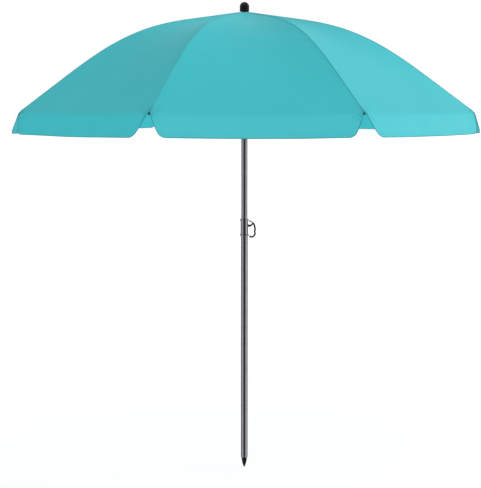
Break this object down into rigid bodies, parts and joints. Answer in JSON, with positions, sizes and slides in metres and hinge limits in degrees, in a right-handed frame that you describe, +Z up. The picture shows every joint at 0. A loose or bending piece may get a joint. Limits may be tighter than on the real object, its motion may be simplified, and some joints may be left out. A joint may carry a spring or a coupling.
{
  "type": "beach umbrella",
  "caption": "Beach umbrella: domed fabric canopy with split valance on a folding rib frame, two-piece metal pole with hooked clamp screw and ground spike.",
  "frame": {"origin": "centre of the ground spike's blunt tip, on the pole's axis", "axes": "+Z up along the pole, +X towards the clamp screw's hook, -Y towards the middle of a canopy panel"},
  "size_m": [1.7366, 1.7366, 1.9049],
  "materials": {
    "canopy_fabric": "woven polyester, matt with a slight sheen",
    "pole_metal": "dark gunmetal grey, glossy metallic",
    "rib_metal": "dark grey coated steel wire",
    "black_plastic": "black moulded, satin",
    "plated_steel": "zinc plated"
  },
  "bodies": {
    "lower_pole": {"lower_tube": "pole_metal", "ground_spike": "black_plastic", "clamp_collar": "pole_metal", "clamp_bush": "plated_steel"},
    "clamp_hook": {"clamp_hook": "black_plastic"},
    "upper_pole": {"upper_tube": "pole_metal", "guide_plug": "black_plastic", "crown": "black_plastic", "crown_ring": "plated_steel", "finial": "black_plastic"},
    "catch": {"runner_catch": "plated_steel"},
    "runner": {"runner": "black_plastic"},
    "rib_1": {"rib_1": "rib_metal", "rib_tip_1": "black_plastic", "stretcher_bracket_1": "black_plastic", "canopy_panel_1": "canopy_fabric"},
    "stretcher_1": {"stretcher_1": "rib_metal"},
    "rib_2": {"rib_2": "rib_metal", "rib_tip_2": "black_plastic", "stretcher_bracket_2": "black_plastic", "canopy_panel_2": "canopy_fabric"},
    "stretcher_2": {"stretcher_2": "rib_metal"},
    "rib_3": {"rib_3": "rib_metal", "rib_tip_3": "black_plastic", "stretcher_bracket_3": "black_plastic", "canopy_panel_3": "canopy_fabric"},
    "stretcher_3": {"stretcher_3": "rib_metal"},
    "rib_4": {"rib_4": "rib_metal", "rib_tip_4": "black_plastic", "stretcher_bracket_4": "black_plastic", "canopy_panel_4": "canopy_fabric"},
    "stretcher_4": {"stretcher_4": "rib_metal"},
    "rib_5": {"rib_5": "rib_metal", "rib_tip_5": "black_plastic", "stretcher_bracket_5": "black_plastic", "canopy_panel_5": "canopy_fabric"},
    "stretcher_5": {"stretcher_5": "rib_metal"},
    "rib_6": {"rib_6": "rib_metal", "rib_tip_6": "black_plastic", "stretcher_bracket_6": "black_plastic", "canopy_panel_6": "canopy_fabric"},
    "stretcher_6": {"stretcher_6": "rib_metal"},
    "rib_7": {"rib_7": "rib_metal", "rib_tip_7": "black_plastic", "stretcher_bracket_7": "black_plastic", "canopy_panel_7": "canopy_fabric"},
    "stretcher_7": {"stretcher_7": "rib_metal"},
    "rib_8": {"rib_8": "rib_metal", "rib_tip_8": "black_plastic", "stretcher_bracket_8": "black_plastic", "canopy_panel_8": "canopy_fabric"},
    "stretcher_8": {"stretcher_8": "rib_metal"}
  },
  "joints": [
    {"name": "pole_height", "type": "slide", "parent": "lower_pole", "child": "upper_pole", "axis": [0, 0, 1], "range_m": [-0.06, 0.28]},
    {"name": "clamp_hook_turn", "type": "hinge", "parent": "lower_pole", "child": "clamp_hook", "pos_m": [0.02, 0, 1.016], "axis": [1, 0, 0], "range_deg": [0, 180]},
    {"name": "canopy_fold", "type": "slide", "parent": "upper_pole", "child": "runner", "axis": [0, 0, -1], "range_m": [0, 0.4672], "deforming": ["canopy_panel_1", "canopy_panel_2", "canopy_panel_3", "canopy_panel_4", "canopy_panel_5", "canopy_panel_6", "canopy_panel_7", "canopy_panel_8", "runner_catch"]},
    {"name": "catch_press", "type": "slide", "parent": "upper_pole", "child": "catch", "axis": [0, 1, 0], "range_m": [0, 0.0041], "stiffness_N_per_m": 600},
    {"name": "rib_hinge_1", "type": "hinge", "parent": "upper_pole", "child": "rib_1", "pos_m": [0.02032, 0.00842, 1.852], "axis": [-0.3827, 0.9239, 0], "range_deg": [0, 63.2]},
    {"name": "stretcher_hinge_1", "type": "hinge", "parent": "rib_1", "child": "stretcher_1", "pos_m": [0.33176, 0.13742, 1.79211], "axis": [-0.3827, 0.9239, 0], "range_deg": [-112.6, 0]},
    {"name": "rib_hinge_2", "type": "hinge", "parent": "upper_pole", "child": "rib_2", "pos_m": [0.00842, 0.02032, 1.852], "axis": [-0.9239, 0.3827, 0], "range_deg": [0, 63.2]},
    {"name": "stretcher_hinge_2", "type": "hinge", "parent": "rib_2", "child": "stretcher_2", "pos_m": [0.13742, 0.33176, 1.79211], "axis": [-0.9239, 0.3827, 0], "range_deg": [-112.6, 0]},
    {"name": "rib_hinge_3", "type": "hinge", "parent": "upper_pole", "child": "rib_3", "pos_m": [-0.00842, 0.02032, 1.852], "axis": [-0.9239, -0.3827, 0], "range_deg": [0, 63.2]},
    {"name": "stretcher_hinge_3", "type": "hinge", "parent": "rib_3", "child": "stretcher_3", "pos_m": [-0.13742, 0.33176, 1.79211], "axis": [-0.9239, -0.3827, 0], "range_deg": [-112.6, 0]},
    {"name": "rib_hinge_4", "type": "hinge", "parent": "upper_pole", "child": "rib_4", "pos_m": [-0.02032, 0.00842, 1.852], "axis": [-0.3827, -0.9239, 0], "range_deg": [0, 63.2]},
    {"name": "stretcher_hinge_4", "type": "hinge", "parent": "rib_4", "child": "stretcher_4", "pos_m": [-0.33176, 0.13742, 1.79211], "axis": [-0.3827, -0.9239, 0], "range_deg": [-112.6, 0]},
    {"name": "rib_hinge_5", "type": "hinge", "parent": "upper_pole", "child": "rib_5", "pos_m": [-0.02032, -0.00842, 1.852], "axis": [0.3827, -0.9239, 0], "range_deg": [0, 63.2]},
    {"name": "stretcher_hinge_5", "type": "hinge", "parent": "rib_5", "child": "stretcher_5", "pos_m": [-0.33176, -0.13742, 1.79211], "axis": [0.3827, -0.9239, 0], "range_deg": [-112.6, 0]},
    {"name": "rib_hinge_6", "type": "hinge", "parent": "upper_pole", "child": "rib_6", "pos_m": [-0.00842, -0.02032, 1.852], "axis": [0.9239, -0.3827, 0], "range_deg": [0, 63.2]},
    {"name": "stretcher_hinge_6", "type": "hinge", "parent": "rib_6", "child": "stretcher_6", "pos_m": [-0.13742, -0.33176, 1.79211], "axis": [0.9239, -0.3827, 0], "range_deg": [-112.6, 0]},
    {"name": "rib_hinge_7", "type": "hinge", "parent": "upper_pole", "child": "rib_7", "pos_m": [0.00842, -0.02032, 1.852], "axis": [0.9239, 0.3827, 0], "range_deg": [0, 63.2]},
    {"name": "stretcher_hinge_7", "type": "hinge", "parent": "rib_7", "child": "stretcher_7", "pos_m": [0.13742, -0.33176, 1.79211], "axis": [0.9239, 0.3827, 0], "range_deg": [-112.6, 0]},
    {"name": "rib_hinge_8", "type": "hinge", "parent": "upper_pole", "child": "rib_8", "pos_m": [0.02032, -0.00842, 1.852], "axis": [0.3827, 0.9239, 0], "range_deg": [0, 63.2]},
    {"name": "stretcher_hinge_8", "type": "hinge", "parent": "rib_8", "child": "stretcher_8", "pos_m": [0.33176, -0.13742, 1.79211], "axis": [0.3827, 0.9239, 0], "range_deg": [-112.6, 0]}
  ],
  "couplings": [
    {"joint": "rib_hinge_1", "follows": "canopy_fold", "rad_per_m": 2.3535},
    {"joint": "stretcher_hinge_1", "follows": "canopy_fold", "rad_per_m": -4.1878},
    {"joint": "rib_hinge_2", "follows": "canopy_fold", "rad_per_m": 2.3535},
    {"joint": "stretcher_hinge_2", "follows": "canopy_fold", "rad_per_m": -4.1878},
    {"joint": "rib_hinge_3", "follows": "canopy_fold", "rad_per_m": 2.3535},
    {"joint": "stretcher_hinge_3", "follows": "canopy_fold", "rad_per_m": -4.1878},
    {"joint": "rib_hinge_4", "follows": "canopy_fold", "rad_per_m": 2.3535},
    {"joint": "stretcher_hinge_4", "follows": "canopy_fold", "rad_per_m": -4.1878},
    {"joint": "rib_hinge_5", "follows": "canopy_fold", "rad_per_m": 2.3535},
    {"joint": "stretcher_hinge_5", "follows": "canopy_fold", "rad_per_m": -4.1878},
    {"joint": "rib_hinge_6", "follows": "canopy_fold", "rad_per_m": 2.3535},
    {"joint": "stretcher_hinge_6", "follows": "canopy_fold", "rad_per_m": -4.1878},
    {"joint": "rib_hinge_7", "follows": "canopy_fold", "rad_per_m": 2.3535},
    {"joint": "stretcher_hinge_7", "follows": "canopy_fold", "rad_per_m": -4.1878},
    {"joint": "rib_hinge_8", "follows": "canopy_fold", "rad_per_m": 2.3535},
    {"joint": "stretcher_hinge_8", "follows": "canopy_fold", "rad_per_m": -4.1878}
  ]
}
